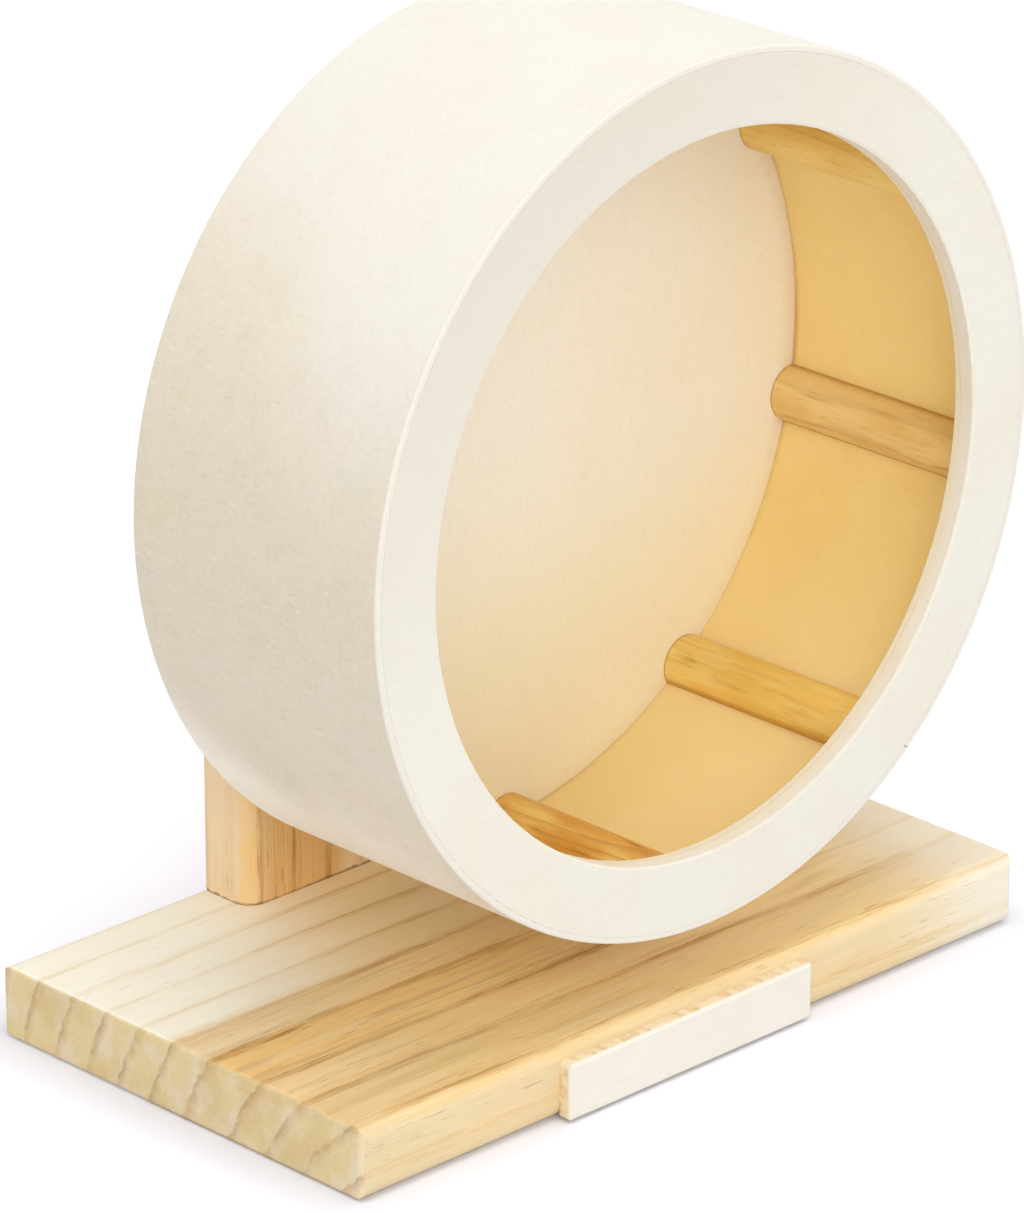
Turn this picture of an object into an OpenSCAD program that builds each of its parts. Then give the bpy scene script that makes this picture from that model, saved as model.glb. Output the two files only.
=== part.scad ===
// Wooden running wheel for small rodents: an open-fronted plywood drum on one level axle,
// carried from behind by a pine upright that stands on a pine base board.
// The origin is the centre of the base's underside. +Z is up, and the drum's mouth faces -Y.

/* [Base board] */
// Length of the base board
base_l = 213; // [150:1:320]
// Depth of the base board, front to back
base_w = 122; // [112:1:200]
// Thickness of the base board
base_t = 18; // [12:1:30]
// Rounding of the board's long edges
base_edge_r = 4; // [1:0.5:5]
// Easing of the board's sawn ends
base_end_r = 1.2; // [0.5:0.1:3]
// Rounding of the board's upright corners
base_corner_r = 2.4; // [1:0.2:8]

/* [Upright] */
// Width of the upright board
post_w = 91; // [60:1:120]
// Thickness of the upright board
post_t = 18; // [16:1:30]
// Height of the upright above the axle
post_above_axle = 30; // [22:1:50]
// Radius of the upright's two top corners
post_head_r = 24; // [8:1:28]
// Rounding of the upright's edges
post_edge_r = 5; // [1:0.5:7]

/* [Drum] */
// Outer diameter of the drum
drum_d = 207; // [150:1:280]
// Outer depth of the drum, front to back
drum_depth = 78; // [50:1:110]
// Thickness of the bent drum wall
wall_t = 1.5; // [1:0.1:3]
// Thickness of the front ring
ring_t = 6; // [3:0.5:8]
// Thickness of the rear disc
disc_t = 6; // [3:0.5:10]
// Width of the front ring, from the drum's outside to its mouth
ring_w = 18; // [10:0.5:30]
// Room between the drum and the base board
drum_lift = 16.5; // [6:0.5:40]
// Sanded easing of the drum's plywood edges
ply_edge_r = 0.6; // [0.2:0.1:0.9]
// Width of the open butt seam where the ends of the wall strip meet
seam_w = 0.4; // [0.2:0.1:2]

/* [Rungs] */
// Number of rungs
rung_count = 9; // [6:1:12]
// Direction of the first rung, in degrees up from level at the right
rung_start = 30; // [0:1:90]
// Width of a rung, which is the diameter of the round stock that it is sawn from
rung_w = 14; // [8:0.5:18]
// Height of a rung above the drum wall
rung_h = 6.5; // [3:0.5:8]

/* [Hub and axle] */
// Diameter of the hub block
hub_d = 60; // [40:1:90]
// Thickness of the hub block
hub_t = 18; // [12:1:30]
// Easing of the hub block's rear edge
hub_edge_r = 2; // [0.5:0.5:4]
// Running room between the hub block and the upright
hub_room = 10; // [3:0.5:20]
// Diameter of the axle bolt
bolt_d = 8; // [6:0.5:8]
// Width across the flats of the bolt's head and of the lock nut
hex_af = 13; // [11:0.5:13]
// Height of the bolt's head
bolt_head_h = 5.3; // [4:0.1:7]
// Outer diameter of the spacer sleeve
sleeve_d = 12; // [10:0.5:12]
// Outer diameter of the washer
washer_d = 15; // [12:0.5:16]
// Thickness of the washer
washer_t = 1.6; // [0.8:0.1:2]
// Height of the lock nut
nut_h = 8; // [6:0.1:8]
// Diameter of the hole behind the bearing, in which the lock nut turns
nut_well_d = 18; // [17:0.5:19]

/* [Bearing] */
// Outer diameter of the ball bearing
bearing_d = 22; // [22:0.5:26]
// Width of the ball bearing
bearing_w = 7; // [6.6:0.1:8]
// Diameter of a ball
ball_d = 3.97; // [3.4:0.01:4]
// Number of balls
ball_count = 7; // [5:1:7]
// Thickness of a shield
shield_t = 0.3; // [0.2:0.05:0.5]

/* [Plaque] */
// Length of the bare plaque on the base's front edge
plaque_l = 79; // [30:1:140]
// Height of the plaque
plaque_h = 14; // [8:0.5:17]
// Thickness of the plaque
plaque_t = 3.5; // [2:0.5:6]
// Place of the plaque's middle along the base
plaque_x = -6.5; // [-30:0.5:30]
// Rounding of the plaque's corners and front edges
plaque_r = 1; // [0.4:0.1:1.5]

/* [Screws] */
// Diameter of the screws that hold the upright
screw_d = 4; // [3:0.5:5]
// Length of those screws
screw_l = 40; // [30:1:60]
// Distance between the two screws
screw_spacing = 50; // [25:1:50]

/* [Clearances] */
// Glue line between curved wooden pieces
glue_gap = 0.1; // [0.05:0.05:0.3]
// Space drawn round a pressed or screwed steel piece
press_gap = 0.02; // [0.01:0.01:0.05]
// Radial running room of the balls in their races
ball_gap = 0.03; // [0.02:0.01:0.06]
// Room round the balls in the cage, and between the cage and the races
cage_gap = 0.1; // [0.06:0.01:0.15]
// Room round the bolt's head, and between a shield and the inner race
free_gap = 0.3; // [0.2:0.05:0.4]
// Height of the plaque's lower edge above the ground
plaque_lift = 0.5; // [0.3:0.1:2]

/* [Hidden] */
$fn = 96;

// Degrees by which each hand-set rung stands off its even place
rung_hand_set = [0, -1, -0.6, 3, 2, 1, 0, -1, 0];
// The rung that backs the seam of the drum wall
seam_rung = 3;

// Depths along the axle, front to back
back_y = base_w / 2;
post_front_y = back_y - post_t;
hub_back_y = post_front_y - hub_room;
drum_back_y = hub_back_y - hub_t;
drum_front_y = drum_back_y - drum_depth;
ring_back_y = drum_front_y + ring_t;
disc_front_y = drum_back_y - disc_t;
rung_l = disc_front_y - ring_back_y;
bearing_back_y = post_front_y + bearing_w;
bearing_mid_y = post_front_y + bearing_w / 2;
nut_front_y = bearing_back_y + washer_t;
nut_back_y = nut_front_y + nut_h;
plaque_back_y = -base_w / 2;

// Radii and heights
drum_r = drum_d / 2;
wall_in_r = drum_r - wall_t;
glued_r = wall_in_r - glue_gap;
mouth_r = drum_r - ring_w;
axle_z = base_t + drum_lift + drum_r;
post_top_z = axle_z + post_above_axle;
rung_r = rung_w / 2;

// The bolt ends a little behind the nut, still inside the upright
bolt_past_nut = 0.8;
bolt_r = bolt_d / 2;
steel_bore_r = bolt_r + press_gap;
hex_corner_r = hex_af / 2 / cos(30);
hex_chamfer = 0.8;

// The bearing's raceways
ball_r = ball_d / 2;
pitch_r = (bolt_d + bearing_d) / 4;
groove_r = ball_r + ball_gap;
land_rise = 1.5;
inner_land_r = pitch_r - land_rise;
outer_land_r = pitch_r + land_rise;
shield_inset = 0.5;
shield_step_r = outer_land_r + 0.4;
race_edge_r = 0.3;

// The snap-in cage, open on its front side so that the balls press in
cage_wall = 2.1;
cage_back = 2.4;
cage_front = 1.1;

// The lock nut's collar and its nylon ring
nut_hex_h = nut_h - 1.6;
nut_collar_r = hex_af / 2 - 0.5;
nut_ring_r = nut_collar_r - 0.8;
nut_lip = 0.3;

// The screws' countersunk heads, just below the base's underside
screw_r = screw_d / 2;
screw_head_r = screw_d;
screw_sunk = 0.3;
cross_l = screw_d;
cross_w = 0.9;
cross_depth = 1.6;

// Overshoot of a cutting shape past the face that it opens
cut = 1;

// Direction of rung i in degrees, clockwise from the first as seen from the front
function rung_angle(i) =
    rung_start - (i - 1) * 360 / rung_count + rung_hand_set[(i - 1) % len(rung_hand_set)];

// A rectangle centred on the origin with four round corners
module round_rect(w, h, r) {
    square([w - 2 * r, h], center = true);
    square([w, h - 2 * r], center = true);
    for (x = [-1, 1], y = [-1, 1])
        translate([x * (w / 2 - r), y * (h / 2 - r)]) circle(r);
}

// Stands a shape that was drawn along +Z on the axle's line, with its foot at the given depth
module on_axle(y) {
    translate([0, y, axle_z]) rotate([-90, 0, 0]) children();
}

// A rectangle from the origin along +X and +Y, with its two far corners round
module eased_strip(w, h, r) {
    intersection() {
        translate([0, h / 2]) round_rect(2 * w, h, r);
        square([w, h]);
    }
}

// A hexagon prism along +Z with its far corners turned off
module hex_bar(h) {
    intersection() {
        cylinder(r = hex_corner_r, h = h, $fn = 6);
        union() {
            cylinder(r = hex_corner_r + hex_chamfer, h = h - hex_chamfer / 2);
            translate([0, 0, h - hex_chamfer / 2])
                cylinder(r1 = hex_corner_r + hex_chamfer / 2, r2 = hex_corner_r - hex_chamfer / 2,
                    h = hex_chamfer / 2);
        }
    }
}

// Places children at both of the upright's screws, on the base's underside
module at_screws() {
    for (side = [-1, 1])
        translate([side * screw_spacing / 2, back_y - post_t / 2, 0]) children();
}

// The screw's outline, larger all round by the given room
module screw_shape(room) {
    translate([0, 0, screw_sunk]) {
        cylinder(r1 = screw_head_r + room, r2 = screw_r + room, h = screw_head_r - screw_r);
        cylinder(r = screw_r + room, h = screw_l - screw_d);
        translate([0, 0, screw_l - screw_d]) cylinder(r1 = screw_r + room, r2 = room, h = screw_d);
    }
}

// Plank with rounded long edges, eased ends and softened upright corners
module base_blank() {
    intersection() {
        rotate([90, 0, 90]) linear_extrude(base_l, center = true)
            translate([0, base_t / 2]) round_rect(base_w, base_t, base_edge_r);
        linear_extrude(base_t) round_rect(base_l, base_w, base_corner_r);
        rotate([90, 0, 0]) linear_extrude(base_w, center = true)
            translate([0, base_t / 2]) round_rect(base_l, base_t, base_end_r);
    }
}

module base_board() {
    color("burlywood") difference() {
        base_blank();
        at_screws() {
            screw_shape(press_gap);
            translate([0, 0, -cut]) cylinder(r = screw_head_r + press_gap, h = cut + screw_sunk);
        }
    }
}

// Board on end, with all its edges but the lowest rounded over
module post_blank() {
    corner_x = post_w / 2 - post_head_r;
    corner_z = post_top_z - post_head_r;
    translate([0, back_y - post_t / 2, 0]) {
        translate([0, 0, base_t]) linear_extrude(corner_z - base_t)
            round_rect(post_w, post_t, post_edge_r);
        for (side = [0, 1])
            mirror([side, 0, 0]) translate([corner_x, 0, corner_z]) rotate([90, 0, 0])
                rotate_extrude(angle = 90)
                    translate([0, -post_t / 2]) eased_strip(post_head_r, post_t, post_edge_r);
        translate([0, 0, corner_z]) rotate([90, -90, 90])
            linear_extrude(2 * corner_x, center = true)
                translate([0, -post_t / 2]) eased_strip(post_head_r, post_t, post_edge_r);
    }
}

module upright() {
    color("sandybrown") difference() {
        post_blank();
        on_axle(post_front_y - cut) cylinder(d = bearing_d + 2 * press_gap, h = bearing_w + cut);
        on_axle(post_front_y) cylinder(d = nut_well_d, h = post_t + cut);
        at_screws() screw_shape(press_gap);
    }
}

module upright_screws() {
    color("silver") at_screws() difference() {
        screw_shape(0);
        for (turn = [0, 90])
            rotate(turn) translate([-cross_l / 2, -cross_w / 2, 0])
                cube([cross_l, cross_w, screw_sunk + cross_depth]);
    }
}

// Small strip with softened front edges and corners, glued by its back
module front_plaque() {
    color("ivory") translate([plaque_x, plaque_back_y, plaque_lift + plaque_h / 2])
        intersection() {
            rotate([90, 0, 0]) linear_extrude(plaque_t) round_rect(plaque_l, plaque_h, plaque_r);
            linear_extrude(plaque_h, center = true) round_rect(plaque_l, 2 * plaque_t, plaque_r);
            rotate([90, 0, 90]) linear_extrude(plaque_l, center = true)
                round_rect(2 * plaque_t, plaque_h, plaque_r);
        }
}

// Thin ply strip bent round both discs, its ends butted over a rung
module drum_wall() {
    seam_angle = 2 * asin(seam_w / 2 / drum_r);
    color("oldlace") on_axle(drum_front_y) rotate(-rung_angle(seam_rung) + seam_angle / 2)
        rotate_extrude(angle = 360 - seam_angle)
            translate([wall_in_r, 0]) eased_strip(wall_t, drum_depth, ply_edge_r);
}

module front_ring() {
    color("floralwhite") on_axle(drum_front_y) rotate_extrude()
        translate([glued_r, 0]) mirror([1, 0]) eased_strip(glued_r - mouth_r, ring_t, ply_edge_r);
}

module rear_disc() {
    color("wheat") on_axle(disc_front_y) cylinder(r = glued_r, h = disc_t);
}

// Half-round strip between ring and disc, its back worked to the drum wall's curve
module rung(i) {
    color("goldenrod") on_axle(ring_back_y) intersection() {
        cylinder(r = glued_r, h = rung_l);
        rotate(-rung_angle(i)) translate([wall_in_r - rung_h + rung_r, 0, 0])
            cylinder(r = rung_r, h = rung_l);
    }
}

// Turned block glued to the rear disc, with a hexagon pocket that keeps the bolt from turning
module hub_block() {
    color("burlywood") on_axle(drum_back_y) difference() {
        rotate_extrude() intersection() {
            round_rect(hub_d, 2 * hub_t, hub_edge_r);
            square([hub_d / 2, hub_t]);
        }
        translate([0, 0, -cut])
            cylinder(r = hex_corner_r + free_gap, h = bolt_head_h + free_gap + cut, $fn = 6);
        cylinder(r = steel_bore_r, h = hub_t + cut);
    }
}

// Hexagon bolt, its head in the hub block's pocket and its thread in the lock nut
module axle_bolt() {
    head_front_y = drum_back_y + free_gap;
    color("silver") union() {
        on_axle(head_front_y + bolt_head_h) mirror([0, 0, 1]) hex_bar(bolt_head_h);
        on_axle(head_front_y + bolt_head_h / 2)
            cylinder(r = bolt_r, h = nut_back_y + bolt_past_nut - head_front_y - bolt_head_h / 2);
    }
}

module spacer_sleeve() {
    color("lightgray") on_axle(hub_back_y) difference() {
        cylinder(d = sleeve_d, h = hub_room);
        translate([0, 0, -cut]) cylinder(r = steel_bore_r, h = hub_room + 2 * cut);
    }
}

// Section of a bearing race between two radii, grooved for the balls
module race_profile(r_in, r_out) {
    difference() {
        translate([(r_in + r_out) / 2, 0]) round_rect(r_out - r_in, bearing_w, race_edge_r);
        translate([pitch_r, 0]) circle(groove_r);
    }
}

module bearing_outer_race() {
    step_h = shield_inset + shield_t;
    color("lightsteelblue") on_axle(bearing_mid_y) rotate_extrude() difference() {
        race_profile(outer_land_r, bearing_d / 2);
        for (side = [0, 1])
            mirror([0, side]) translate([0, bearing_w / 2 - step_h]) square([shield_step_r, step_h + cut]);
    }
}

module bearing_inner_race() {
    color("lightsteelblue") on_axle(bearing_mid_y)
        rotate_extrude() race_profile(steel_bore_r, inner_land_r);
}

// Places children at every ball's centre
module at_balls() {
    on_axle(bearing_mid_y) for (i = [0 : ball_count - 1])
        rotate(i * 360 / ball_count) translate([pitch_r, 0, 0]) children();
}

module bearing_balls() {
    color("silver") at_balls() sphere(ball_r);
}

module bearing_cage() {
    color("darkgoldenrod") difference() {
        on_axle(bearing_mid_y - cage_front) difference() {
            cylinder(r = pitch_r + cage_wall / 2, h = cage_front + cage_back);
            translate([0, 0, -cut])
                cylinder(r = pitch_r - cage_wall / 2, h = cage_front + cage_back + 2 * cut);
        }
        at_balls() sphere(ball_r + cage_gap);
    }
}

// Thin washer pressed into the outer race's step, clear of the inner race
module shield() {
    difference() {
        cylinder(r = shield_step_r - press_gap, h = shield_t);
        translate([0, 0, -cut]) cylinder(r = inner_land_r + free_gap, h = shield_t + 2 * cut);
    }
}

module bearing_front_shield() {
    color("gainsboro") on_axle(post_front_y + shield_inset) shield();
}

module bearing_rear_shield() {
    color("gainsboro") on_axle(bearing_back_y - shield_inset - shield_t) shield();
}

module axle_washer() {
    color("silver") on_axle(bearing_back_y) difference() {
        cylinder(d = washer_d, h = washer_t);
        translate([0, 0, -cut]) cylinder(r = steel_bore_r, h = washer_t + 2 * cut);
    }
}

// Hexagon nut with a round collar that holds the nylon ring
module lock_nut() {
    color("silver") on_axle(nut_front_y) difference() {
        union() {
            hex_bar(nut_hex_h);
            cylinder(r = nut_collar_r, h = nut_h);
        }
        translate([0, 0, -cut]) cylinder(r = steel_bore_r, h = nut_h + 2 * cut);
        translate([0, 0, nut_hex_h]) cylinder(r = nut_ring_r, h = nut_h - nut_hex_h + cut);
    }
}

module nut_insert() {
    color("royalblue") on_axle(nut_front_y + nut_hex_h) difference() {
        cylinder(r = nut_ring_r - press_gap, h = nut_h - nut_hex_h - nut_lip);
        translate([0, 0, -cut]) cylinder(r = steel_bore_r, h = nut_h - nut_hex_h + 2 * cut);
    }
}

base_board();
upright();
upright_screws();
front_plaque();
drum_wall();
front_ring();
rear_disc();
for (i = [1 : rung_count])
    rung(i);
hub_block();
axle_bolt();
spacer_sleeve();
bearing_outer_race();
bearing_inner_race();
bearing_balls();
bearing_cage();
bearing_front_shield();
bearing_rear_shield();
axle_washer();
lock_nut();
nut_insert();
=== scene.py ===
import math

import bpy
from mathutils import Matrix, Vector


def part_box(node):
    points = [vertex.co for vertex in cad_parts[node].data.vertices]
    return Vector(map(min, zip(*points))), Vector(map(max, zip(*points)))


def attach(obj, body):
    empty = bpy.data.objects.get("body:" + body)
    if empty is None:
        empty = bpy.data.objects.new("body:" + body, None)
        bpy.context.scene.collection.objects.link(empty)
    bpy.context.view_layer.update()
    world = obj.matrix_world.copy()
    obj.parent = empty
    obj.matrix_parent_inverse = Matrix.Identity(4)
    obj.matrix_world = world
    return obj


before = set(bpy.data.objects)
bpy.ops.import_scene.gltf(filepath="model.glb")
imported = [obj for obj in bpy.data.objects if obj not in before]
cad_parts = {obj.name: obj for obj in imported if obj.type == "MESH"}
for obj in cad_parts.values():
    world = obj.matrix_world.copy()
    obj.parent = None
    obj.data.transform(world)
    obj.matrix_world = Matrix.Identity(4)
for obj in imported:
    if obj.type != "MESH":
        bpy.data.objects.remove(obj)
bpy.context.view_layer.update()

# Places and sizes, in metres, as the frame gives them

wall_low, wall_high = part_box("drum_wall")
ring_low, ring_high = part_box("front_ring")
disc_low, disc_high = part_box("rear_disc")
base_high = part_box("base_board")[1]
plaque_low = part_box("front_plaque")[0]
hub_low, hub_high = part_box("hub_block")

# Width of the front ring, the same as in the CAD source
RING_W = 0.018

AXLE_Z = (hub_low.z + hub_high.z) / 2
DRUM_R = (wall_high.x - wall_low.x) / 2
DISC_R = (disc_high.x - disc_low.x) / 2
MOUTH_R = DRUM_R - RING_W
DISC_T = disc_high.y - disc_low.y

# Indices of the colour sockets on Blender's Mix node
MIX_A = 6
MIX_B = 7
MIX_RESULT = 2


def srgb(red, green, blue):
    """A colour given as 0 to 255 display values, as linear values for a shader."""
    def linear(value):
        part = value / 255
        if part <= 0.04045:
            return part / 12.92
        return ((part + 0.055) / 1.055) ** 2.4
    return (linear(red), linear(green), linear(blue), 1.0)


class Graph:
    """A node tree. The methods take numbers or sockets and return a socket."""

    def __init__(self, tree):
        self.tree = tree
        self.tree.nodes.clear()

    def make(self, kind, inputs=None, **settings):
        """A node of this kind, with its inputs fed and its settings set."""
        node = self.tree.nodes.new(kind)
        for key, value in settings.items():
            setattr(node, key, value)
        for key, value in (inputs or {}).items():
            self.feed(node.inputs[key], value)
        return node

    def feed(self, socket, value):
        """Links a socket to an input, or sets the input to a plain value."""
        if isinstance(value, bpy.types.NodeSocket):
            self.tree.links.new(value, socket)
        else:
            socket.default_value = value

    def split(self, vector):
        node = self.make("ShaderNodeSeparateXYZ", {"Vector": vector})
        return node.outputs["X"], node.outputs["Y"], node.outputs["Z"]

    def math(self, operation, *values):
        node = self.make("ShaderNodeMath", operation=operation)
        for index, value in enumerate(values):
            self.feed(node.inputs[index], value)
        return node.outputs[0]

    def add(self, first, second):
        return self.math("ADD", first, second)

    def sub(self, first, second):
        return self.math("SUBTRACT", first, second)

    def mul(self, first, second):
        return self.math("MULTIPLY", first, second)

    def most(self, first, second):
        return self.math("MAXIMUM", first, second)

    def size(self, value):
        return self.math("ABSOLUTE", value)

    def hypot(self, first, second):
        return self.math("SQRT", self.add(self.mul(first, first), self.mul(second, second)))

    def at_least(self, floor, value):
        """A level from 0 to 1, squeezed so that it starts at the floor instead of 0."""
        return self.add(floor, self.mul(value, 1.0 - floor))

    def step(self, value, low, high):
        """0 at low, 1 at high, and a smooth change between."""
        node = self.make("ShaderNodeMapRange", {
            "Value": value, "From Min": low, "From Max": high}, interpolation_type="SMOOTHSTEP")
        return node.outputs["Result"]

    def band(self, value, low, high, soft):
        """1 between low and high, 0 outside, with edges of the given softness."""
        rise = self.step(value, low - soft, low + soft)
        fall = self.step(value, high - soft, high + soft)
        return self.sub(rise, fall)

    def noise(self, vector, scale, detail=3.0, roughness=0.5):
        node = self.make("ShaderNodeTexNoise", {
            "Vector": vector, "Scale": scale, "Detail": detail, "Roughness": roughness})
        return node.outputs["Fac"]

    def stretched(self, axes, scales, detail=3.0, roughness=0.5):
        """Noise whose grains have their own count per metre along each of three axes."""
        parts = [self.mul(axis, scale) for axis, scale in zip(axes, scales)]
        vector = self.make("ShaderNodeCombineXYZ", dict(zip("XYZ", parts))).outputs[0]
        return self.noise(vector, 1.0, detail, roughness)

    def colours(self, value, stops):
        """A colour that changes with the value, from (position, colour) pairs."""
        node = self.make("ShaderNodeValToRGB", {"Fac": value})
        elements = node.color_ramp.elements
        while len(elements) < len(stops):
            elements.new(1.0)
        for element, (position, colour) in zip(elements, stops):
            element.position = position
            element.color = colour
        return node.outputs["Color"]

    def ramp(self, value, stops):
        """A level between 0 and 1 from (position, level) pairs."""
        return self.colours(value, [(at, (level, level, level, 1.0)) for at, level in stops])

    def mix(self, factor, first, second):
        """The first colour where the factor is 0, the second where it is 1."""
        node = self.make("ShaderNodeMix", data_type="RGBA")
        self.feed(node.inputs["Factor"], factor)
        self.feed(node.inputs[MIX_A], first)
        self.feed(node.inputs[MIX_B], second)
        return node.outputs[MIX_RESULT]

    def tint(self, colour, cover, strength, tint):
        """The colour with some of the tint laid over it where cover is 1."""
        return self.mix(self.mul(cover, strength), colour, tint)

    def bump(self, height, depth):
        """A normal for a surface as rough as height says, depth metres deep."""
        return self.make("ShaderNodeBump", {"Height": height, "Distance": depth}).outputs[0]


class Surface(Graph):
    """A material whose patterns are placed in metres in the frame."""

    def __init__(self, name):
        self.material = bpy.data.materials.new(name)
        self.material.use_nodes = True
        super().__init__(self.material.node_tree)
        source = self.make("ShaderNodeTexCoord")
        self.place = source.outputs["Object"]
        self.x, self.y, self.z = self.split(self.place)
        self.normal = self.split(source.outputs["Normal"])
        self.radius = self.hypot(self.x, self.sub(self.z, AXLE_Z))

    def cloud(self, count, low, high, detail=3.0):
        """Soft patches, with the given count per metre, that fade in between two noise levels."""
        return self.step(self.noise(self.place, count, detail), low, high)

    def marks(self, counts, low, high, detail=3.0, roughness=0.6):
        """Short marks, with their own count per metre along x, y and z."""
        noise = self.stretched((self.x, self.y, self.z), counts, detail, roughness)
        return self.step(noise, low, high)

    def patches(self, colour, kinds, cover=None):
        """The colour with several kinds of soft patch laid over it, where cover is above 0."""
        for count, low, high, detail, strength, tint in kinds:
            patch = self.cloud(count, low, high, detail)
            level = patch if cover is None else self.mul(cover, patch)
            colour = self.tint(colour, level, strength, tint)
        return colour

    def finish(self, colour, roughness, normal, metallic=0.0, specular=0.3):
        """Makes the shader and returns the material."""
        shader = self.make("ShaderNodeBsdfPrincipled", {
            "Base Color": colour, "Roughness": roughness, "Normal": normal,
            "Metallic": metallic, "Specular IOR Level": specular})
        self.show(shader.outputs[0])
        return self.material

    def show(self, shader):
        output = self.make("ShaderNodeOutputMaterial")
        self.feed(output.inputs["Surface"], shader)


def dress(material, *names):
    """Gives a CAD node's material slots this material."""
    for name in names:
        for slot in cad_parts[name].material_slots:
            slot.material = material


# Solid pine: growth rings round a pith line, cut by every face as a saw would cut them

# Marks that follow the grain: count per metre along it and across it, detail, roughness, and the noise
# levels between which a mark fades in
PINE_MARKS = {
    "patch": (11, 70, 3, 0.5, 0.36, 0.64),
    "broad": (9, 170, 3, 0.6, 0.44, 0.62),
    "streak": (22, 420, 3, 0.65, 0.5, 0.64),
    "light_streak": (17, 330, 2, 0.6, 0.5, 0.64),
    "fibre": (60, 1500, 3, 0.65, 0.42, 0.72),
    "dash_spot": (110, 1500, 2, 0.5, 0.63, 0.7),
    "dash_zone": (16, 130, 2, 0.5, 0.47, 0.6),
    "broken": (48, 1100, 4, 0.7, 0.4, 0.6)}

# Growth rings, in metres: how far they wander and ripple, and where wider ones start and end
RING_WANDER = 0.004
RING_RIPPLE = 0.0012
WIDE_FROM = 0.032
WIDE_TO = 0.047

# Zones of colour: the radius that they span, and how ragged their edges are, in metres
ZONE_SPAN = 0.12
ZONE_RAGGED = 0.0016

# Painted warm shade on the board near the drum: where it starts and is full along the board, how far it
# slants across it, and how much of it the upright faces get
PAINTED_SHADE_START = -0.088
PAINTED_SHADE_FULL = -0.034
PAINTED_SHADE_SLANT = 0.55
PAINTED_SHADE_ON_SIDES = 0.35

# Where faint darker patches start and are full along the grain, in metres: on the board they grow in
# toward the drum as painted shade
PATCHY_START = -0.09
PATCHY_FULL = 0.0

# Dark line where the upright stands on the base: its uneven height and its softness, in metres
FOOT_UNEVEN = 0.0017
FOOT_SOFT = 0.0008


def pine_rings(g, along, across, pith, first_ring, ring_gap, wide_ring=0.0):
    """The radius past the first ring, and how far through its growth ring a point lies."""
    offset = [g.sub(place, middle) for place, middle in zip(across, pith)]
    wander = g.sub(g.stretched((along, *offset), (5, 14, 14), 2), 0.5)
    ripple = g.sub(g.stretched((along, *offset), (24, 90, 90), 2), 0.5)
    shift = g.add(g.mul(wander, RING_WANDER), g.mul(ripple, RING_RIPPLE))
    past_first = g.sub(g.add(g.hypot(*offset), shift), first_ring)
    extra = g.mul(g.step(past_first, WIDE_FROM, WIDE_TO), wide_ring)
    turn = g.math("FRACT", g.sub(g.math("DIVIDE", past_first, ring_gap), extra))
    return past_first, turn


def pine_mark(g, grain, kind):
    """One kind of mark that follows the wood's grain."""
    lengthwise, crosswise, detail, roughness, low, high = PINE_MARKS[kind]
    noise = g.stretched(grain, (lengthwise, crosswise, crosswise), detail, roughness)
    return g.step(noise, low, high)


def end_grain(g, turn, wood):
    """Sawn end: speckled, bleached in patches, each ring ending in a soft band and a thin line."""
    speckle = g.noise(g.place, 1500, 3, 0.7)
    fuzz = g.mul(g.sub(g.noise(g.place, 300, 3, 0.6), 0.5), 0.28)
    near = g.add(turn, fuzz)
    face = g.tint(wood["end"], g.step(speckle, 0.42, 0.68), 0.3, wood["end_dark"])
    face = g.tint(face, g.cloud(60, 0.46, 0.6), 0.45, wood["end_dark"])
    face = g.tint(face, g.cloud(95, 0.5, 0.66), 0.45, wood["end_bleached"])

    beside = g.ramp(near, [(0.0, 0.9), (0.25, 0.0), (0.55, 0.0), (0.78, 0.9), (1.0, 0.9)])
    face = g.tint(face, g.mul(beside, g.cloud(130, 0.42, 0.6)), 0.42, wood["end_bleached"])
    band = g.ramp(near, [(0.0, 0.0), (0.7, 0.0), (0.88, 1.0), (0.96, 0.9), (1.0, 0.0)])
    band_cover = g.mul(band, g.at_least(0.5, g.cloud(140, 0.4, 0.6)))
    face = g.tint(face, band_cover, 0.56, wood["end_band"])
    line = g.ramp(near, [(0.0, 0.0), (0.87, 0.0), (0.93, 1.0), (0.96, 0.8), (1.0, 0.0)])
    face = g.tint(face, g.mul(line, g.cloud(200, 0.42, 0.62)), 0.34, wood["end_line"])
    return face, speckle


def painted_drum_shade(g, along, across, fade):
    """How strongly the painted shade from the drum above covers the board: most on its top, less on its
    upright faces.
    """
    slant = g.sub(along, g.mul(across[0], PAINTED_SHADE_SLANT))
    level = g.mul(g.step(slant, PAINTED_SHADE_START, PAINTED_SHADE_FULL), g.sub(1.0, fade))
    upward = g.step(g.normal[2], 0.3, 0.8)
    return g.mul(level, g.at_least(PAINTED_SHADE_ON_SIDES, upward))


def pine_ground(g, wood, zone, fade):
    """The wood's colour by zone, paler where it fades, and how much of it is heartwood."""
    side = g.colours(zone, [(at / ZONE_SPAN, colour) for at, colour, _ in wood["zones"]])
    side = g.tint(side, fade, 0.7, wood["pale"])
    heart = g.ramp(zone, [(at / ZONE_SPAN, level) for at, _, level in wood["zones"]])
    heart = g.mul(heart, g.sub(1.0, g.mul(fade, 0.9)))
    return side, heart


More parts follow.
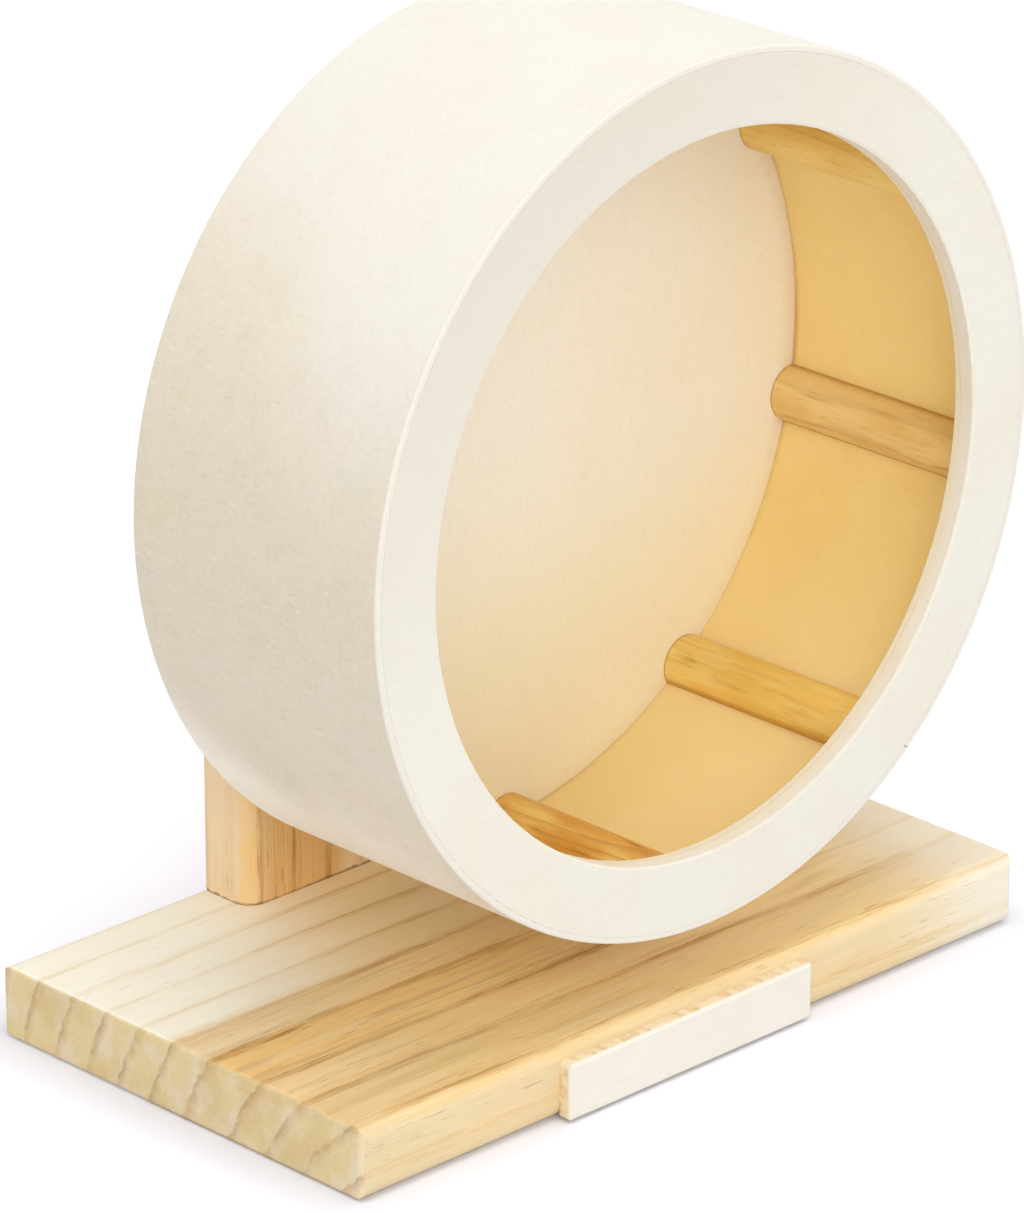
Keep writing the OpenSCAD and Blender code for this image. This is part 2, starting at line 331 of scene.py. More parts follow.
def pine_growth(g, wood, side, along, growth, marks, heart, painted_shade_level, line_strength):
    """The side's colour with growth rings, streaks, fibres and dashes laid over it."""
    summer, line = growth
    darker = g.most(heart, g.mul(painted_shade_level, 0.6))
    summer_colour = g.mix(darker, wood["summer"], wood["heart_summer"])
    line_colour = g.mix(darker, wood["line"], wood["heart_line"])

    broad = g.mul(marks["broad"], g.sub(darker, g.mul(painted_shade_level, 0.6)))
    side = g.tint(side, broad, 0.22, wood["heart_summer"])
    side = g.tint(side, g.mul(marks["light_streak"], heart), 0.45, wood["heart_light"])
    bands = g.mul(summer, g.at_least(0.3, marks["patch"]))
    side = g.tint(side, g.mul(bands, line_strength), 0.68, summer_colour)
    side = g.tint(side, g.mul(marks["streak"], g.at_least(0.08, heart)), 0.3, line_colour)
    # Faint darker patches, which on the board grow in toward the drum as painted shade
    patches_and_shade = g.mul(marks["patch"], g.step(along, PATCHY_START, PATCHY_FULL))
    side = g.tint(side, patches_and_shade, 0.12, summer_colour)

    drawn = g.add(0.12, g.mul(g.add(marks["streak"], marks["broken"]), 0.44))
    strokes = g.mul(line, drawn)
    side = g.tint(side, g.mul(strokes, line_strength), 0.95, line_colour)
    side = g.tint(side, marks["fibre"], 0.05, line_colour)
    dashes = g.mul(marks["dash_spot"], marks["dash_zone"])
    return g.tint(side, g.mul(dashes, g.at_least(0.3, heart)), 0.65, wood["dash"])


def pine_edge_highlight_and_foot(g, wood, colour):
    """The colour with a painted highlight on the upright's rounded upright edges, and a dark line at its
    foot.
    """
    # Painted highlight on the upright's rounded upright edges, in patches
    if "painted_edge_highlight" in wood:
        rounded = g.size(g.mul(g.normal[0], g.normal[1]))
        highlight_patches = g.at_least(0.5, g.cloud(120, 0.4, 0.62))
        colour = g.tint(colour, g.mul(g.step(rounded, 0.16, 0.5), highlight_patches), 0.68, wood["painted_edge_highlight"])
    if "foot" in wood:
        uneven = g.mul(g.noise(g.place, 400, 3), FOOT_UNEVEN)
        foot = g.step(g.sub(g.z, base_high.z), uneven, g.sub(uneven, FOOT_SOFT))
        colour = g.tint(colour, foot, 0.75, wood["foot"])
    return colour


def pine(name, axes, wood, fade_from=1.0, fade_to=2.0, **rings):
    """Unvarnished planed pine. axes gives the grain's direction and the two across it."""
    g = Surface(name)
    sockets = {"x": g.x, "y": g.y, "z": g.z}
    grain = [sockets[axis] for axis in axes]
    along = grain[0]
    across = grain[1:]
    past_first, turn = pine_rings(g, along, across, **rings)
    marks = {kind: pine_mark(g, grain, kind) for kind in PINE_MARKS}

    ragged = g.mul(g.sub(marks["patch"], 0.5), ZONE_RAGGED)
    zone = g.math("DIVIDE", g.add(past_first, ragged), ZONE_SPAN)
    fade = g.step(along, fade_from, fade_to)
    side, heart = pine_ground(g, wood, zone, fade)
    painted_shade_level = 0.0
    line_strength = 1.0
    # On the board, painted warm shade from the drum above, over both the pale wood and the heartwood
    if "painted_shade" in wood:
        painted_shade_level = painted_drum_shade(g, along, across, fade)
        side = g.tint(side, g.mul(painted_shade_level, g.sub(1.0, heart)), 0.85, wood["painted_shade"])
        side = g.tint(side, g.mul(painted_shade_level, heart), 0.7, wood["painted_shade_heart"])
        line_strength = g.at_least(0.4, g.most(heart, g.mul(painted_shade_level, 0.7)))

    blur = g.mul(g.sub(g.stretched(grain, (60, 1200, 1200), 3, 0.7), 0.5), 0.4)
    near = g.add(turn, blur)
    summer = g.ramp(near, [(0.0, 0.35), (0.12, 0.0), (0.45, 0.0), (0.8, 0.5), (0.93, 1.0), (1.0, 0.5)])
    line = g.ramp(near, [(0.0, 0.0), (0.8, 0.0), (0.9, 1.0), (0.97, 0.95), (1.0, 0.0)])
    side = pine_growth(g, wood, side, along, (summer, line), marks, heart, painted_shade_level, line_strength)

    end_face, speckle = end_grain(g, turn, wood)
    cut_across = g.step(g.size(g.normal["xyz".index(axes[0])]), 0.55, 0.9)
    colour = pine_edge_highlight_and_foot(g, wood, g.mix(cut_across, side, end_face))
    height = g.add(g.mul(marks["fibre"], -0.5), g.mul(summer, 0.5))
    height = g.add(height, g.mul(g.mul(speckle, cut_across), 1.2))
    roughness = g.add(0.58, g.mul(marks["fibre"], 0.12))
    return g.finish(colour, roughness, g.bump(height, 0.00012))


# Each zone: metres past the first ring, the wood's colour there, and how much of it is heartwood

BASE_PALE = srgb(253, 248, 232)
BASE_TAN = srgb(246, 215, 160)
BASE_GOLD = srgb(243, 203, 135)
BASE_CORE = srgb(223, 205, 166)
BASE_SHADE = srgb(229, 199, 147)
BASE_CREAM = srgb(239, 216, 173)
BASE_WOOD = {
    "zones": [
        (0.0, BASE_CORE, 0.3), (0.0065, BASE_CORE, 0.3),
        (0.0095, BASE_SHADE, 0.7), (0.0175, BASE_SHADE, 0.7),
        (0.0205, BASE_TAN, 0.8), (0.0295, BASE_TAN, 0.8),
        (0.032, BASE_GOLD, 1.0), (0.0435, BASE_GOLD, 1.0),
        (0.046, BASE_CREAM, 0.8), (0.054, BASE_CREAM, 0.8),
        (0.0575, BASE_PALE, 0.0)],
    "painted_shade": srgb(249, 221, 165), "painted_shade_heart": srgb(248, 216, 150),
    "pale": srgb(243, 239, 228), "summer": srgb(240, 213, 160), "line": srgb(224, 186, 108),
    "heart_summer": srgb(214, 165, 94), "heart_line": srgb(170, 116, 52),
    "heart_light": srgb(245, 226, 182), "dash": srgb(158, 108, 48),
    "end": srgb(233, 212, 160), "end_dark": srgb(214, 184, 126), "end_bleached": srgb(238, 223, 206),
    "end_band": srgb(198, 160, 108), "end_line": srgb(158, 114, 68)}
POST_PALE = srgb(249, 222, 180)
POST_GOLD = srgb(238, 192, 126)
POST_WOOD = {
    "zones": [
        (0.086, POST_PALE, 0.3), (0.092, POST_GOLD, 0.7),
        (0.11, POST_GOLD, 0.7), (0.115, POST_PALE, 0.1)],
    "pale": POST_PALE, "summer": srgb(236, 194, 134), "line": srgb(186, 130, 66),
    "heart_summer": srgb(230, 182, 114), "heart_line": srgb(190, 132, 68),
    "heart_light": srgb(246, 206, 144), "dash": srgb(164, 110, 56),
    "end": srgb(229, 207, 158), "end_dark": srgb(210, 178, 120), "end_bleached": srgb(232, 216, 196),
    "end_band": srgb(190, 152, 102), "end_line": srgb(140, 98, 56),
    "painted_edge_highlight": srgb(249, 207, 126), "foot": srgb(126, 80, 36)}
HUB_PALE = srgb(247, 224, 182)
HUB_WOOD = {
    "zones": [(0.0, HUB_PALE, 0.0), (ZONE_SPAN, HUB_PALE, 0.2)],
    "pale": HUB_PALE, "summer": srgb(234, 198, 140), "line": srgb(196, 146, 86),
    "heart_summer": srgb(220, 176, 114), "heart_line": srgb(180, 128, 68),
    "heart_light": srgb(246, 216, 166), "dash": srgb(146, 100, 50),
    "end": srgb(229, 208, 160), "end_dark": srgb(210, 180, 124), "end_bleached": srgb(232, 218, 198),
    "end_band": srgb(192, 156, 106), "end_line": srgb(142, 102, 60)}


# Plywood: thin peeled veneers, with short fibre marks along their grain

# Kinds of soft patch: count per metre, noise levels where it starts and is full, detail, strength, colour
OUTER_PATCHES = [
    (26, 0.42, 0.66, 4, 0.3, srgb(230, 213, 176)),
    (60, 0.48, 0.7, 3, 0.2, srgb(234, 210, 190)),
    (48, 0.48, 0.7, 3, 0.2, srgb(212, 212, 196)),
    (150, 0.5, 0.7, 3, 0.14, srgb(206, 192, 160)),
    (800, 0.42, 0.66, 3, 0.12, srgb(202, 186, 156))]
INNER_PATCHES = [
    (30, 0.4, 0.66, 4, 0.35, srgb(244, 208, 126)),
    (150, 0.48, 0.7, 3, 0.18, srgb(252, 230, 176))]
RING_PATCHES = [
    (24, 0.45, 0.7, 4, 0.45, srgb(227, 220, 198)),
    (60, 0.5, 0.7, 3, 0.35, srgb(229, 218, 209)),
    (700, 0.48, 0.72, 3, 0.08, srgb(214, 203, 178))]
DISC_PATCHES = [
    (18, 0.4, 0.66, 4, 0.3, srgb(247, 233, 206)),
    (85, 0.48, 0.7, 3, 0.25, srgb(251, 243, 226))]

# Heights over the axle, in metres, between which the drum's stain, which is also painted shade, fades in
# and fades out, and between which a painted bounce light makes its bottom paler
STAIN_SHADE_IN = (-0.082, -0.04)
STAIN_SHADE_OUT = (0.02, 0.1)
PAINTED_BOUNCE_LIGHT = (-0.04, -0.074)
STAIN_SHADE_SLANT = 0.32
STAIN_SHADE_WANDER = 0.06

# Depths from the drum's front between which the painted shade on its front edge fades out, in metres
RIM_DEPTHS = (0.001, 0.0004)

# Heights against the axle where the painted light on the low part of the wall and of the disc starts and
# is full, in metres
WALL_PAINTED_LIGHT = (-0.04, -0.09)
DISC_PAINTED_LIGHT = (-0.012, -0.06)

# The mouth's edge: how deep its glue line lies and its second ply starts and is full, in metres
GLUE_LINE = (0.0038, 0.0041)
GLUE_SOFT = 0.00015
SECOND_PLY = (0.002, 0.0055)
PLY_WANDER = 0.0012


def drum_outside(g):
    """The drum's bleached outer veneer with its stain, which is also painted shade, a painted bounce
    light low down, painted shade on its front edge, and how strongly its flecks stand out.
    """
    # The stain is partly painted shade: darker and yellower at mid height, lighter above, as light falls
    # on the drum
    slant = g.sub(g.sub(g.z, AXLE_Z), g.mul(g.y, STAIN_SHADE_SLANT))
    wander = g.mul(g.sub(g.noise(g.place, 14, 1), 0.5), STAIN_SHADE_WANDER)
    height_up = g.add(slant, wander)
    stain_and_shade = g.sub(g.step(height_up, *STAIN_SHADE_IN), g.step(height_up, *STAIN_SHADE_OUT))
    outer = g.tint(srgb(236, 232, 223), stain_and_shade, 0.72, srgb(222, 208, 181))
    # Painted bounce light: the drum paler at its bottom
    outer = g.tint(outer, g.step(height_up, *PAINTED_BOUNCE_LIGHT), 0.9, srgb(250, 243, 228))

    mottle = g.at_least(0.25, stain_and_shade)
    fleck = g.marks((1100, 240, 1100), 0.58, 0.72)
    light_fleck = g.step(g.stretched((g.z, g.y, g.x), (1300, 300, 1300), 2, 0.6), 0.6, 0.74)
    outer = g.patches(outer, OUTER_PATCHES, mottle)
    outer = g.tint(outer, g.mul(mottle, fleck), 0.16, srgb(190, 172, 140))
    outer = g.tint(outer, g.mul(mottle, light_fleck), 0.25, srgb(250, 246, 238))
    # Painted shade on the drum's rounded front edge, which tones down its highlight
    rim_from, rim_to = RIM_DEPTHS
    rim_shade = g.step(g.y, wall_low.y + rim_from, wall_low.y + rim_to)
    return g.tint(outer, rim_shade, 0.95, srgb(228, 222, 209)), fleck


def drum_inside(g):
    """The drum's golden inner veneer, paler low down as painted light, with glue in its corner to the
    disc.
    """
    inner = g.patches(srgb(251, 222, 149), INNER_PATCHES)
    inner = g.tint(inner, g.marks((900, 260, 900), 0.55, 0.75), 0.08, srgb(214, 170, 96))
    corner = g.step(g.y, disc_low.y - 0.0016, disc_low.y - 0.0002)
    inner = g.tint(inner, g.mul(corner, g.cloud(20, 0.3, 0.7)), 0.4, srgb(196, 148, 82))
    # Painted light: the wall paler low down
    low_from, low_to = WALL_PAINTED_LIGHT
    painted_low_light = g.step(g.z, AXLE_Z + low_from, AXLE_Z + low_to)
    return g.tint(inner, painted_low_light, 0.3, srgb(252, 232, 190))


def bent_plywood():
    """The drum's wall: bleached outside and on its front edge, golden inside."""
    g = Surface("bent_plywood")
    outer, fleck = drum_outside(g)
    inner = drum_inside(g)
    inside = g.step(g.radius, DISC_R + 0.0006, DISC_R + 0.0003)
    behind_ring = g.step(g.y, ring_high.y - 0.0004, ring_high.y)
    colour = g.mix(g.mul(inside, behind_ring), outer, inner)
    height = g.add(g.mul(fleck, -0.5), g.cloud(620, 0.3, 0.7))
    return g.finish(colour, g.add(0.56, g.mul(fleck, 0.12)), g.bump(height, 0.00005))


def mouth_edge(g):
    """The plies that show in the mouth's edge, and the glue line between them."""
    wave = g.mul(g.sub(g.noise(g.place, 30, 2), 0.5), PLY_WANDER)
    depth = g.add(g.sub(g.y, ring_low.y), wave)
    front_ply = g.mix(g.cloud(40, 0.4, 0.65), srgb(233, 228, 216), srgb(231, 224, 209))
    edge = g.mix(g.step(depth, *SECOND_PLY), front_ply, srgb(233, 223, 200))
    glue = g.mul(g.band(depth, *GLUE_LINE, GLUE_SOFT), g.cloud(36, 0.34, 0.56))
    return g.tint(edge, glue, 0.35, srgb(214, 176, 120))


def ring_plywood():
    """The front ring: bleached face veneer, greyer at its upper left as painted shade, and the mouth's
    edge.
    """
    g = Surface("ring_plywood")
    fibre = g.marks((110, 400, 900), 0.52, 0.74)
    face = g.patches(srgb(229, 225, 213), RING_PATCHES)
    face = g.tint(face, fibre, 0.07, srgb(204, 188, 156))
    # Painted shade: the ring's face greyer toward its upper left
    painted_top_shade = g.step(g.sub(g.sub(g.z, AXLE_Z), g.mul(g.x, 0.6)), 0.0, 0.14)
    face = g.tint(face, painted_top_shade, 0.7, srgb(212, 205, 188))
    on_edge = g.step(g.radius, MOUTH_R + 0.0006, MOUTH_R + 0.0001)
    colour = g.mix(on_edge, face, mouth_edge(g))
    height = g.add(g.mul(fibre, -0.4), g.cloud(700, 0.3, 0.7))
    return g.finish(colour, g.add(0.56, g.mul(fibre, 0.12)), g.bump(height, 0.00005))


def disc_plywood():
    """The rear disc: a warm face towards the animal, a pale one behind, with painted shade toward the
    wall and painted light low down.
    """
    g = Surface("disc_plywood")
    front = g.patches(srgb(249, 243, 227), DISC_PATCHES)
    inside = g.sub(DISC_R, g.radius)
    joint = g.mul(g.step(inside, 0.0007, 0.0001), g.cloud(22, 0.3, 0.6))
    # Painted shade: the disc darker toward the wall, over its last 6 mm
    front = g.tint(front, g.step(inside, 0.006, 0.0), 0.25, srgb(214, 168, 96))
    front = g.tint(front, joint, 0.55, srgb(206, 158, 90))
    # Painted bounce light: the disc warmer and paler low down
    low_from, low_to = DISC_PAINTED_LIGHT
    painted_low_light = g.step(g.z, AXLE_Z + low_from, AXLE_Z + low_to)
    front = g.tint(front, painted_low_light, 0.5, srgb(252, 238, 196))

    back = g.tint(srgb(240, 231, 210), g.cloud(18, 0.4, 0.68, 4), 0.5, srgb(230, 216, 186))
    behind = g.step(g.y, disc_low.y + DISC_T * 0.6, disc_low.y + DISC_T * 0.9)
    colour = g.mix(behind, front, back)
    fibre = g.marks((900, 400, 150), 0.52, 0.74)
    colour = g.tint(colour, fibre, 0.045, srgb(196, 166, 116))
    colour = g.tint(colour, g.cloud(750, 0.5, 0.72), 0.06, srgb(204, 172, 120))
    height = g.add(g.mul(fibre, -0.4), g.cloud(750, 0.3, 0.7))
    return g.finish(colour, g.add(0.55, g.mul(fibre, 0.12)), g.bump(height, 0.00003))


def dried_glue():
    """Wood glue in the drum's round joints: nearly clear at the front, brown at the back."""
    g = Surface("dried_glue")
    bead = g.noise(g.place, 600, 3)
    pale = g.mix(bead, srgb(224, 212, 188), srgb(232, 222, 202))
    brown = g.mix(bead, srgb(184, 136, 74), srgb(204, 158, 94))
    colour = g.mix(g.step(g.y, ring_low.y + 0.001, ring_high.y), pale, brown)
    return g.finish(colour, g.add(0.45, g.mul(bead, 0.2)), g.bump(bead, 0.00002))


# Half-round rungs and the plaque

# Kinds of rung: light, dark and line colour, gap of the growth rings in metres, how steeply the rings
# cross the rung, and how far the first one is shifted, in metres
RUNG_WOODS = {
    "rung_golden": (srgb(249, 218, 136), srgb(243, 203, 114), srgb(208, 150, 68), 0.0046, 0.05, 0.0015),
    "rung_tan": (srgb(243, 210, 142), srgb(236, 196, 122), srgb(192, 142, 74), 0.0052, 0.02, 0.0),
    "rung_yellow": (srgb(250, 219, 132), srgb(244, 203, 106), srgb(202, 146, 56), 0.0048, 0.04, 0.003),
    "rung_streaked": (srgb(255, 222, 134), srgb(232, 172, 80), srgb(128, 66, 10), 0.0014, 0.022, 0.0)}

# Darker band at a rung's glued foot, which is glue and painted contact shade: its height and how ragged
# its edge is, in metres
RUNG_FOOT = 0.0022
RUNG_RAGGED = 0.0008


def rung_wood(name, light, dark, line, ring_gap, slope, phase):
    """Half-round stick. Its growth rings run a little askew, so its lines cross it in long slants."""
    g = Surface(name)
    rise = g.sub(DISC_R, g.radius)
    bend = g.mul(g.sub(g.stretched((g.x, g.y, g.z), (60, 18, 60), 2), 0.5), ring_gap * 1.2)
    level = g.add(g.add(rise, g.mul(g.y, slope)), g.add(bend, phase))
    turn = g.math("FRACT", g.math("DIVIDE", level, ring_gap))
    grain = g.ramp(turn, [(0.0, 0.0), (0.5, 0.05), (0.8, 0.5), (0.92, 1.0), (1.0, 0.0)])
    patch = g.marks((130, 30, 130), 0.38, 0.62, roughness=0.5)
    streak = g.marks((900, 55, 900), 0.5, 0.7)
    pore = g.marks((1900, 170, 1900), 0.58, 0.74)

    colour = g.mix(patch, light, dark)
    colour = g.tint(colour, g.mul(grain, g.at_least(0.4, streak)), 0.7, line)
    colour = g.tint(colour, streak, 0.14, line)
    colour = g.tint(colour, pore, 0.22, srgb(140, 92, 42))
    # Glue and painted contact shade along the rung's foot on the wall and round its end on the disc
    ragged = g.mul(g.noise(g.place, 300, 3), RUNG_RAGGED)
    foot = g.step(rise, g.add(ragged, RUNG_FOOT), ragged)
    end = g.step(g.y, disc_low.y - 0.0006, disc_low.y - 0.0002)
    colour = g.tint(colour, g.most(foot, end), 0.7, srgb(190, 136, 58))
    height = g.add(g.mul(pore, -0.6), g.mul(grain, 0.4))
    return g.finish(colour, g.add(0.5, g.mul(streak, 0.1)), g.bump(height, 0.0001))


def plaque_wood():
    """A bare whitish face on a tan strip, whose fibres end in its upper and lower edges."""
    g = Surface("plaque_wood")
    on_face = g.step(g.sub(g.y, plaque_low.y), 0.0009, 0.0004)
    face = g.tint(srgb(234, 229, 217), g.cloud(60, 0.4, 0.7), 0.3, srgb(228, 221, 202))
    hair = g.marks((90, 1500, 1900), 0.5, 0.8)
    face = g.tint(face, hair, 0.08, srgb(204, 194, 166))
    tick = g.marks((480, 160, 160), 0.42, 0.72, detail=4, roughness=0.75)
    edge = g.tint(srgb(240, 224, 190), tick, 0.7, srgb(216, 164, 106))
    colour = g.mix(on_face, edge, face)
    return g.finish(colour, g.add(0.55, g.mul(hair, 0.1)), g.bump(g.add(hair, tick), 0.00005))


# Metal and plastic

THREAD_PITCH = 0.00125
TURNING_GAP = 0.00022

# Radii between which the thread's marks fade in on the bolt's shank, in metres
SHANK_RADII = (0.00425, 0.00405)


def zinc_steel():
    """Zinc-plated steel with fine scratches, and thread marks on the bolt's shank behind the hub."""
    g = Surface("zinc_steel")
    bloom = g.noise(g.place, 420, 4, 0.6)
    scratch = g.stretched((g.x, g.y, g.z), (2400, 300, 2400), 3, 0.6)
    colour = g.mix(bloom, srgb(188, 191, 192), srgb(214, 212, 203))
    thread = g.math("SINE", g.mul(g.y, 2 * math.pi / THREAD_PITCH))
    past_hub = g.step(g.y, hub_high.y, hub_high.y + 0.001)
    on_shank = g.mul(g.step(g.radius, *SHANK_RADII), past_hub)
    height = g.add(g.mul(thread, on_shank), g.mul(scratch, 0.08))
    roughness = g.add(0.24, g.mul(bloom, 0.22))
    return g.finish(colour, roughness, g.bump(height, 0.0003), metallic=1.0, specular=0.5)


def bearing_steel():
    """Ground steel with fine turned rings round the axle."""
    g = Surface("bearing_steel")
    turning = g.math("SINE", g.mul(g.radius, 2 * math.pi / TURNING_GAP))
    haze = g.noise(g.place, 700, 3)
    colour = g.mix(haze, srgb(178, 180, 184), srgb(200, 200, 202))
    height = g.add(g.mul(turning, 0.2), haze)
    roughness = g.add(0.16, g.mul(haze, 0.16))
    return g.finish(colour, roughness, g.bump(height, 0.00002), metallic=1.0, specular=0.5)


def moulded_nylon(name, low, high):
    """Nylon with a fine moulded grain, between two close colours."""
    g = Surface(name)
    grain = g.noise(g.place, 1800, 3)
    colour = g.mix(grain, low, high)
    return g.finish(colour, g.add(0.36, g.mul(grain, 0.16)), g.bump(grain, 0.00003), specular=0.5)


# Materials on the CAD nodes

base_pine = pine(
    "pine_board", "xyz", BASE_WOOD, fade_from=0.055, fade_to=0.1,
    pith=(-0.102, -0.044), first_ring=0.066, ring_gap=0.0103, wide_ring=0.4)
post_pine = pine(
    "pine_upright", "zxy", POST_WOOD, pith=(0.09, 0.07), first_ring=0.0203, ring_gap=0.0104)
hub_pine = pine(
    "pine_hub", "xyz", HUB_WOOD, pith=(0.05, 0.19), first_ring=0.01, ring_gap=0.006)
rung_woods = [rung_wood(name, *kind) for name, kind in RUNG_WOODS.items()]

dress(base_pine, "base_board")
dress(post_pine, "upright")
dress(hub_pine, "hub_block")
dress(plaque_wood(), "front_plaque")
dress(bent_plywood(), "drum_wall")
dress(ring_plywood(), "front_ring")
dress(disc_plywood(), "rear_disc")
rungs = sorted(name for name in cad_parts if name.startswith("rung_"))
for index, name in enumerate(rungs):
    dress(rung_woods[index % len(rung_woods)], name)
dress(zinc_steel(), "upright_screws", "axle_bolt", "spacer_sleeve", "axle_washer", "lock_nut")
dress(bearing_steel(), "bearing_outer_race", "bearing_inner_race", "bearing_balls",
      "bearing_front_shield", "bearing_rear_shield")
dress(moulded_nylon("cage_nylon", srgb(150, 128, 92), srgb(170, 148, 110)), "bearing_cage")
dress(moulded_nylon("insert_nylon", srgb(38, 74, 140), srgb(56, 96, 164)), "nut_insert")


# Glue in the 0.1 mm joints between the wall and the ring, the disc and the rungs

GLUE_OUT_R = DISC_R + 0.00009
GLUE_IN_R = DISC_R + 0.00001
ROUND_STEPS = 288
RUNG_STEPS = 12

# How far the glue stays back from its joint's ends, in metres: least at the front of ring and disc
GLUE_INSET = 0.0001
GLUE_FRONT_INSET = 0.00005

# Half the angle that the glue under a rung takes up, in radians: a little less than the rung's own
RUNG_HALF_ANGLE = 0.066


def glue_layer(corners, faces, middle, half_angle, steps, y_low, y_high):
    """Adds a thin curved layer of glue to the lists, from y_low to y_high round the drum's axis."""
    first = len(corners)
    for step in range(steps + 1):
        angle = middle + half_angle * (2 * step / steps - 1)
        for radius in (GLUE_IN_R, GLUE_OUT_R):
            for y in (y_low, y_high):
                corners.append((radius * math.cos(angle), y, AXLE_Z + radius * math.sin(angle)))
    for step in range(steps):
        near = first + 4 * step
        for start, end in ((0, 1), (1, 3), (3, 2), (2, 0)):
            faces.append((near + start, near + end, near + end + 4, near + start + 4))


def make_glue():
    """One thin piece in all the drum's round joints, which turns with the wheel."""
    corners = []
    faces = []
    for low, high in ((ring_low, ring_high), (disc_low, disc_high)):
        y_low = low.y + GLUE_FRONT_INSET
        glue_layer(corners, faces, 0.0, math.pi, ROUND_STEPS, y_low, high.y - GLUE_INSET)
    for name in rungs:
        low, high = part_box(name)
        middle = math.atan2((low.z + high.z) / 2 - AXLE_Z, (low.x + high.x) / 2)
        y_low = low.y + GLUE_INSET
        glue_layer(corners, faces, middle, RUNG_HALF_ANGLE, RUNG_STEPS, y_low, high.y - GLUE_INSET)
    mesh = bpy.data.meshes.new("glue_lines")
    mesh.from_pydata(corners, [], faces)
    mesh.materials.append(dried_glue())
    glue = bpy.data.objects.new("glue_lines", mesh)
    bpy.context.scene.collection.objects.link(glue)
    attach(glue, "wheel")


make_glue()


# Floor, lights and world

FLOOR_HALF = 6.0
FLOOR_DROP = 0.0002
FLOOR_COLOUR = srgb(234, 235, 244)
GLOW_COLOUR = (0.97, 0.96, 1.0, 1.0)
WHITE = (1.0, 1.0, 1.0, 1.0)
WORLD_COLOUR = (1.0, 0.99, 0.955, 1.0)
WORLD_LIGHT = 0.61

# The floor's own glow, which only the camera sees: beside the base, round it and far away
CONTACT_GLOW = 0.04
FLOOR_GLOW = 0.22
FAR_GLOW = 0.7

# Metres past the base where the contact glow ends, and distances from the middle where the far one starts
# and is full
CONTACT_WIDTH = 0.018
FAR_START = 0.35
FAR_FULL = 1.6

# Disc-shaped lamps, which all aim at one point: name, place in metres, power in watts
LAMP_AIM = Vector((0.0, 0.0, 0.12))
LAMP_SIZE = 1.3
LAMPS = [
    ("camera_side", (-1.44, -1.44, 0.94), 8.2),
    ("front_left", (-0.68, -1.87, 1.05), 7.2),
    ("low_front", (-0.92, -1.98, 0.35), 3.4),
    ("overhead", (-0.19, -0.33, 2.29), 17.5),
    ("right_side", (1.79, -0.65, 1.22), 8.2)]


def camera_sees(g):
    """1 for rays that show the surface to the camera, straight or by gloss or glass."""
    rays = g.make("ShaderNodeLightPath").outputs
    seen = g.most(rays["Is Camera Ray"], rays["Is Glossy Ray"])
    return g.most(seen, rays["Is Transmission Ray"])


def floor_material():
    """Pale matt floor, which glows least beside the base, so that the contact shadow shows; where the
    floor is lit less, the weaker glow there also makes a faint painted shade round the base.
    """
    g = Surface("floor")
    diffuse = g.make("ShaderNodeBsdfDiffuse", {"Color": FLOOR_COLOUR})
    past_end = g.most(g.sub(g.size(g.x), base_high.x), 0.0)
    past_edge = g.most(g.sub(g.size(g.y), base_high.y), 0.0)
    clear = g.step(g.hypot(past_end, past_edge), 0.0, CONTACT_WIDTH)
    far = g.step(g.hypot(g.x, g.y), FAR_START, FAR_FULL)
    level = g.add(CONTACT_GLOW, g.mul(clear, FLOOR_GLOW - CONTACT_GLOW))
    level = g.add(level, g.mul(far, FAR_GLOW - FLOOR_GLOW))
    glow = g.make("ShaderNodeEmission", {
        "Color": GLOW_COLOUR, "Strength": g.mul(camera_sees(g), level)})
    both = g.make("ShaderNodeAddShader", {0: diffuse.outputs[0], 1: glow.outputs[0]})
    g.show(both.outputs[0])
    return g.material


def make_floor():
    """A square floor just under the base."""
    corners = [(-1, -1), (1, -1), (1, 1), (-1, 1)]
    places = [(x * FLOOR_HALF, y * FLOOR_HALF, -FLOOR_DROP) for x, y in corners]
    mesh = bpy.data.meshes.new("floor")
    mesh.from_pydata(places, [], [(0, 1, 2, 3)])
    mesh.materials.append(floor_material())
    floor = bpy.data.objects.new("floor", mesh)
    bpy.context.scene.collection.objects.link(floor)


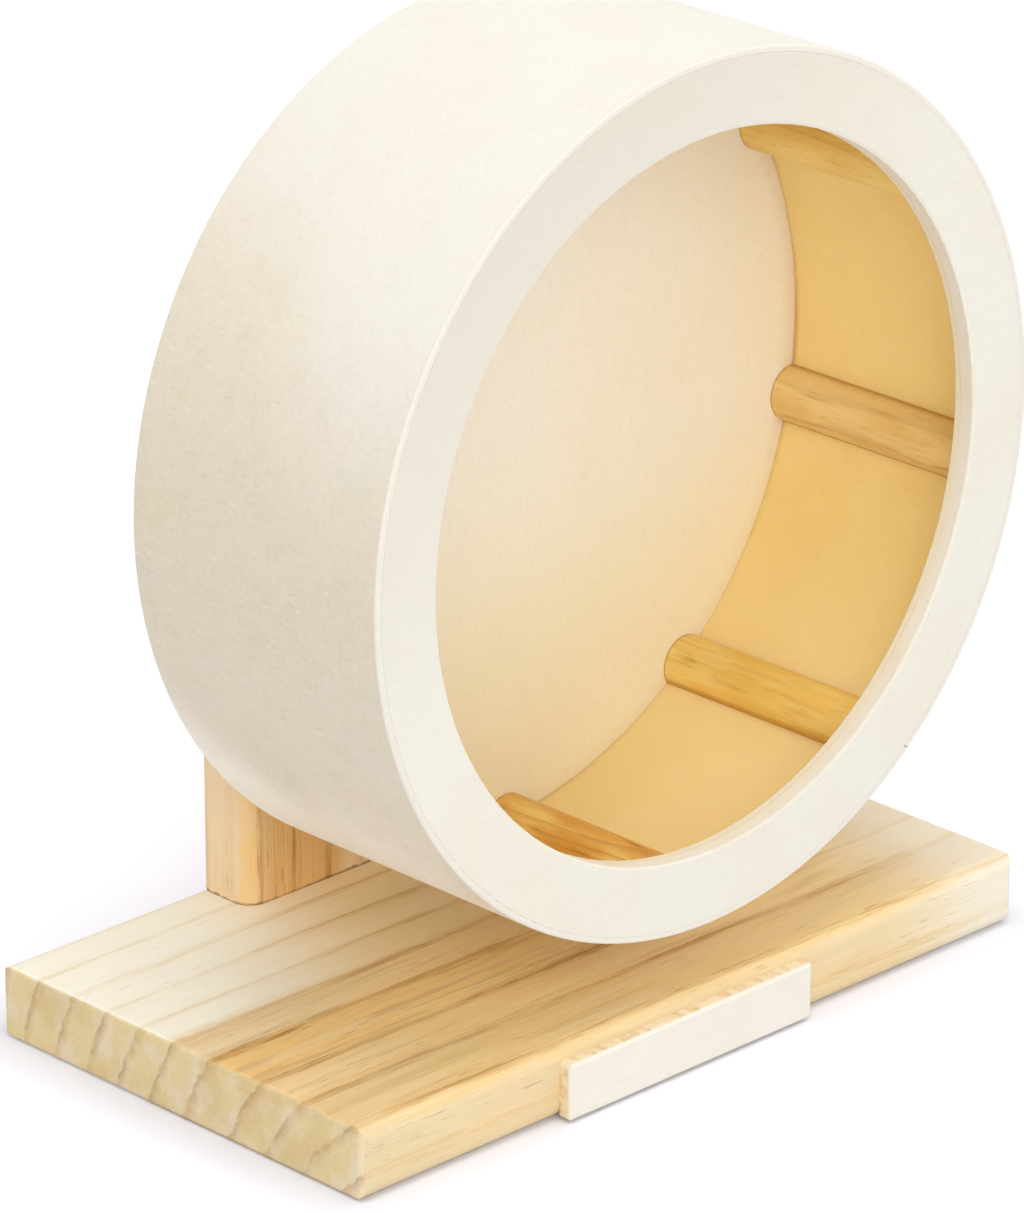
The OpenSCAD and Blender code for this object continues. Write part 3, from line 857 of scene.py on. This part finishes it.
def make_world():
    """Even light on the object, and plain white where the camera looks past it."""
    world = bpy.data.worlds.new("studio")
    world.use_nodes = True
    g = Graph(world.node_tree)
    lit = g.make("ShaderNodeBackground", {"Color": WORLD_COLOUR, "Strength": WORLD_LIGHT})
    shown = g.make("ShaderNodeBackground", {"Color": WHITE, "Strength": 1.0})
    choice = g.make("ShaderNodeMixShader", {0: camera_sees(g), 1: lit.outputs[0], 2: shown.outputs[0]})
    output = g.make("ShaderNodeOutputWorld")
    g.feed(output.inputs["Surface"], choice.outputs[0])
    bpy.context.scene.world = world


def make_lamp(name, place, power):
    """A soft round lamp that points at the aim."""
    lamp = bpy.data.lights.new(name, "AREA")
    lamp.shape = "DISK"
    lamp.size = LAMP_SIZE
    lamp.energy = power
    thing = bpy.data.objects.new(name, lamp)
    thing.location = place
    thing.rotation_euler = (LAMP_AIM - Vector(place)).to_track_quat("-Z", "Y").to_euler()
    bpy.context.scene.collection.objects.link(thing)


make_floor()
make_world()
for name, place, power in LAMPS:
    make_lamp(name, place, power)


# Camera: the photograph's viewing angle, distance and lens

CAMERA_AZIMUTH = math.radians(-44.35)
CAMERA_ELEVATION = math.radians(22.095)
CAMERA_DISTANCE = 1.648
CAMERA_TARGET = Vector((-0.00135, 0.0, 0.09454))
CAMERA_LENS = 212.36
CAMERA_SENSOR = 36.0


def make_camera():
    """Puts the camera where the photograph was taken from."""
    data = bpy.data.cameras.new("camera")
    data.lens = CAMERA_LENS
    data.sensor_width = CAMERA_SENSOR
    level = math.cos(CAMERA_ELEVATION)
    back = Vector((
        math.sin(CAMERA_AZIMUTH) * level,
        -math.cos(CAMERA_AZIMUTH) * level,
        math.sin(CAMERA_ELEVATION)))
    camera = bpy.data.objects.new("camera", data)
    camera.location = CAMERA_TARGET + back * CAMERA_DISTANCE
    camera.rotation_euler = (-back).to_track_quat("-Z", "Y").to_euler()
    bpy.context.scene.collection.objects.link(camera)
    bpy.context.scene.camera = camera


make_camera()
bpy.context.scene.view_settings.view_transform = "Standard"
